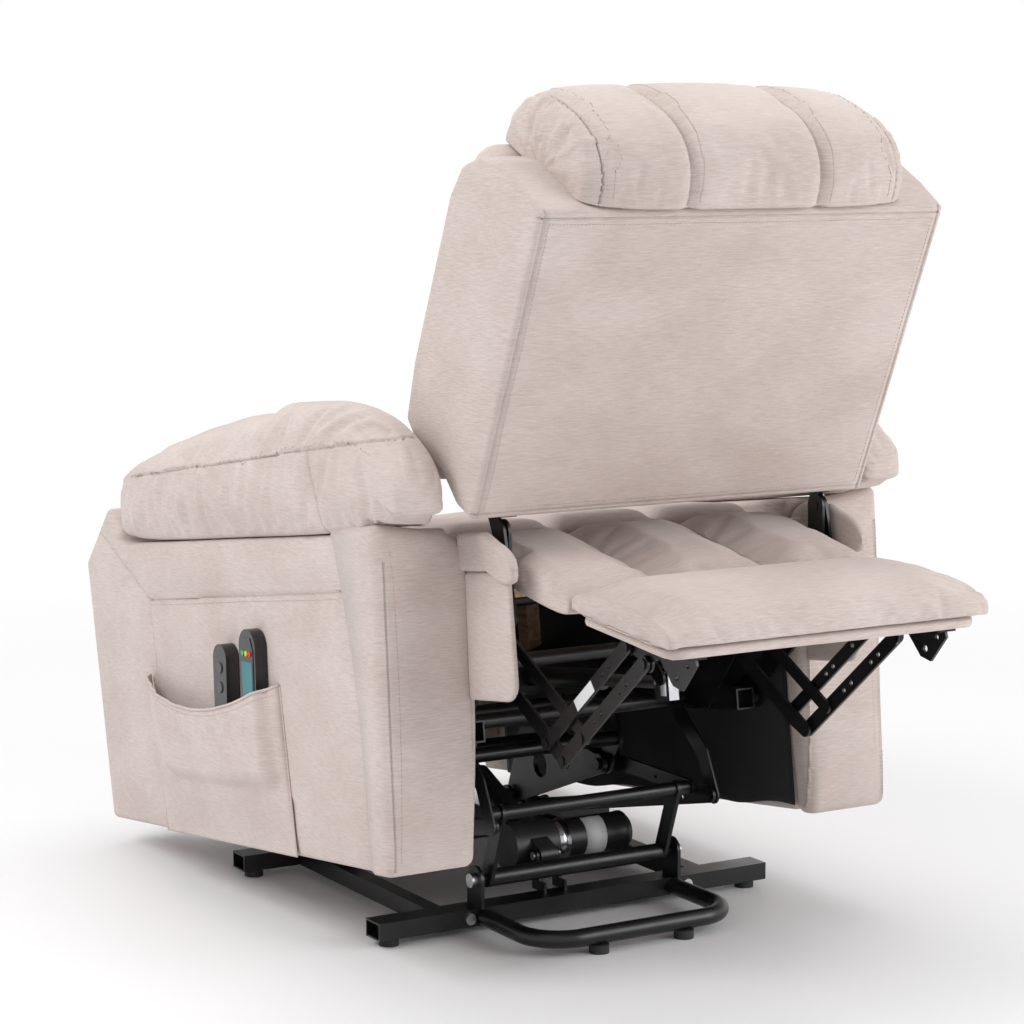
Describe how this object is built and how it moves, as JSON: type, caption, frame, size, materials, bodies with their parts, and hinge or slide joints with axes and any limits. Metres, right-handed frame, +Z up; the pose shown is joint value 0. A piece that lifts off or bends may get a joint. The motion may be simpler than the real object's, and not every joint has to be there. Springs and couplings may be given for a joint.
{
  "type": "lift recliner chair",
  "caption": "Upholstered armchair on a powered lift base: tilts forward to help a sitter stand, the back reclines, the leg rest swings out, and a side pocket holds the handsets.",
  "frame": {"origin": "on the floor, under the middle of the chair's box at rest", "axes": "+Z up; -Y towards the leg rest's foot end; +X to the right when looking along +Y, away from the side pocket"},
  "size_m": [0.8447, 1.4193, 1.1682],
  "materials": {
    "fabric": "soft chenille, matt",
    "lining": "thin black lining cloth",
    "timber": "planed, unfinished",
    "rubber": "matt",
    "spring_steel": "oiled wire",
    "bare_metal": "zinc plated",
    "gear_metal": "cast and satin painted",
    "black_plastic": "moulded, fine grain",
    "handset_plastic": "moulded, satin gloss",
    "key_grey": "moulded rubber",
    "key_red": "moulded rubber",
    "key_yellow": "moulded rubber",
    "key_green": "moulded rubber",
    "painted_steel": "satin black powder coat"
  },
  "bodies": {
    "floor_base": {"base_cross_tubes": "painted_steel", "base_rails": "painted_steel", "floor_loop": "painted_steel", "base_brackets": "painted_steel", "base_feet": "rubber", "base_bolts": "bare_metal", "motor_mount": "painted_steel"},
    "lift_arms": {"lift_arm_plates": "painted_steel", "lift_torque_tube": "painted_steel"},
    "near_crank": {"near_crank": "painted_steel"},
    "tie_links": {"tie_links": "painted_steel"},
    "guide_links": {"guide_links": "painted_steel"},
    "lift_drive": {"lift_gearbox": "gear_metal", "lift_motor": "black_plastic", "spindle_tube": "black_plastic"},
    "lift_rod": {"lift_rod": "bare_metal"},
    "chassis": {"chassis_rails": "painted_steel", "chassis_side_plates": "painted_steel", "chassis_cross_tubes": "painted_steel", "link_hangers": "painted_steel", "arm_mount_brackets": "painted_steel", "back_hinge_posts": "painted_steel", "seat_frame": "timber", "seat_springs": "spring_steel", "seat_cushion": "fabric", "front_apron": "fabric", "arm_left_cover": "fabric", "arm_right_cover": "fabric", "arm_frames": "timber", "arm_left_pad": "fabric", "arm_right_pad": "fabric", "arm_left_end_panel": "fabric", "arm_right_end_panel": "fabric", "arm_linings": "lining", "side_pocket": "fabric", "seat_side_flaps": "fabric", "calf_pad": "fabric", "leg_rest_actuator": "black_plastic", "recline_actuator": "black_plastic", "control_box": "black_plastic"},
    "backrest": {"back_shell": "fabric", "back_cushions": "fabric", "head_roll": "fabric", "back_brackets": "painted_steel"},
    "leg_rest": {"leg_rest_board": "fabric", "leg_rest_pad": "fabric", "leg_rest_brackets": "painted_steel"},
    "leg_lower_links": {"ottoman_lower_links": "painted_steel"},
    "leg_upper_bars": {"ottoman_upper_bars": "painted_steel"},
    "leg_inner_bars": {"ottoman_inner_bars": "painted_steel"},
    "leg_guide_bars": {"ottoman_guide_bars": "painted_steel"},
    "leg_drive_rod": {"leg_rest_drive_rod": "bare_metal"},
    "recline_push": {"recline_push_frame": "painted_steel"},
    "lift_handset": {"wand_handset": "handset_plastic"},
    "wand_up_key": {"wand_up_key": "key_grey"},
    "wand_down_key": {"wand_down_key": "key_grey"},
    "massage_handset": {"massage_handset": "handset_plastic"},
    "massage_power_key": {"massage_power_key": "key_red"},
    "massage_mode_key": {"massage_mode_key": "key_yellow"},
    "massage_heat_key": {"massage_heat_key": "key_green"}
  },
  "joints": [
    {"name": "lift", "type": "hinge", "parent": "floor_base", "child": "lift_arms", "pos_m": [0.0105, 0.30889, 0.075], "axis": [-1, 0, 0], "range_deg": [-13, 16.2]},
    {"name": "chassis_tilt", "type": "hinge", "parent": "lift_arms", "child": "chassis", "pos_m": [0.0105, 0.05683, 0.17176], "axis": [-1, 0, 0], "range_deg": [-6.3, 5.1]},
    {"name": "near_crank_turn", "type": "hinge", "parent": "floor_base", "child": "near_crank", "pos_m": [0.0105, -0.1141, 0.075], "axis": [-1, 0, 0], "range_deg": [-13.1, 16.3]},
    {"name": "tie_turn", "type": "hinge", "parent": "near_crank", "child": "tie_links", "pos_m": [0.0105, -0.1491, 0.175], "axis": [-1, 0, 0], "range_deg": [-16.3, 13.1]},
    {"name": "guide_link_turn", "type": "hinge", "parent": "floor_base", "child": "guide_links", "pos_m": [0.0105, 0.27389, 0.06], "axis": [-1, 0, 0], "range_deg": [-11.4, 14.2]},
    {"name": "lift_drive_swing", "type": "hinge", "parent": "floor_base", "child": "lift_drive", "pos_m": [0.0105, -0.07611, 0.085], "axis": [-1, 0, 0], "range_deg": [-4.1, 3.3]},
    {"name": "lift_rod_slide", "type": "slide", "parent": "lift_drive", "child": "lift_rod", "axis": [0, 0.922, 0.3872], "range_m": [-0.0366, 0.0455]},
    {"name": "backrest_recline", "type": "hinge", "parent": "chassis", "child": "backrest", "pos_m": [0.0105, -0.3361, 0.60001], "axis": [1, 0, 0], "range_deg": [-16, 30]},
    {"name": "recline_slide", "type": "slide", "parent": "chassis", "child": "recline_push", "axis": [0, 0.9903, -0.1392], "range_m": [-0.0301, 0.0562]},
    {"name": "leg_rest_swing", "type": "hinge", "parent": "chassis", "child": "leg_rest", "pos_m": [0.0105, -0.3961, 0.56], "axis": [1, 0, 0], "range_deg": [0, 90], "deforming": ["calf_pad"]},
    {"name": "leg_lower_turn", "type": "hinge", "parent": "chassis", "child": "leg_lower_links", "pos_m": [0.0105, -0.20713, 0.40103], "axis": [1, 0, 0], "range_deg": [-0.5, 90.5]},
    {"name": "leg_upper_turn", "type": "hinge", "parent": "leg_lower_links", "child": "leg_upper_bars", "pos_m": [0.0105, -0.39712, 0.30301], "axis": [1, 0, 0], "range_deg": [-90.5, 0.5]},
    {"name": "leg_inner_turn", "type": "hinge", "parent": "leg_lower_links", "child": "leg_inner_bars", "pos_m": [0.0105, -0.35711, 0.319], "axis": [1, 0, 0], "range_deg": [-90.5, 0.5]},
    {"name": "leg_guide_turn", "type": "hinge", "parent": "chassis", "child": "leg_guide_bars", "pos_m": [0.0105, -0.25305, 0.43964], "axis": [1, 0, 0], "range_deg": [-0.5, 90.5]},
    {"name": "leg_drive_slide", "type": "slide", "parent": "chassis", "child": "leg_drive_rod", "axis": [0, 0.9903, -0.1392], "range_m": [-0.0005, 0.0855]},
    {"name": "lift_handset_lift", "type": "slide", "parent": "chassis", "child": "lift_handset", "axis": [0, 0.0349, 0.9994], "range_m": [0, 0.12]},
    {"name": "massage_handset_lift", "type": "slide", "parent": "chassis", "child": "massage_handset", "axis": [0, 0.0698, 0.9976], "range_m": [0, 0.12]},
    {"name": "wand_up_press", "type": "slide", "parent": "lift_handset", "child": "wand_up_key", "axis": [1, 0, 0], "range_m": [0, 0.0012], "stiffness_N_per_m": 300},
    {"name": "wand_down_press", "type": "slide", "parent": "lift_handset", "child": "wand_down_key", "axis": [1, 0, 0], "range_m": [0, 0.0012], "stiffness_N_per_m": 300},
    {"name": "massage_power_press", "type": "slide", "parent": "massage_handset", "child": "massage_power_key", "axis": [1, 0, 0], "range_m": [0, 0.0012], "stiffness_N_per_m": 300},
    {"name": "massage_mode_press", "type": "slide", "parent": "massage_handset", "child": "massage_mode_key", "axis": [1, 0, 0], "range_m": [0, 0.0012], "stiffness_N_per_m": 300},
    {"name": "massage_heat_press", "type": "slide", "parent": "massage_handset", "child": "massage_heat_key", "axis": [1, 0, 0], "range_m": [0, 0.0012], "stiffness_N_per_m": 300}
  ],
  "couplings": [
    {"joint": "chassis_tilt", "follows": "lift", "ratio": -0.3854},
    {"joint": "near_crank_turn", "follows": "lift", "ratio": 1},
    {"joint": "tie_turn", "follows": "lift", "ratio": -1},
    {"joint": "guide_link_turn", "follows": "lift", "ratio": 0.8691},
    {"joint": "lift_drive_swing", "follows": "lift", "ratio": -0.246},
    {"joint": "lift_rod_slide", "follows": "lift", "m_per_rad": 0.1602},
    {"joint": "recline_slide", "follows": "backrest_recline", "m_per_rad": 0.107},
    {"joint": "leg_lower_turn", "follows": "leg_rest_swing", "ratio": 1},
    {"joint": "leg_upper_turn", "follows": "leg_rest_swing", "ratio": -1},
    {"joint": "leg_inner_turn", "follows": "leg_rest_swing", "ratio": -1},
    {"joint": "leg_guide_turn", "follows": "leg_rest_swing", "ratio": 1},
    {"joint": "leg_drive_slide", "follows": "leg_rest_swing", "m_per_rad": 0.054}
  ]
}
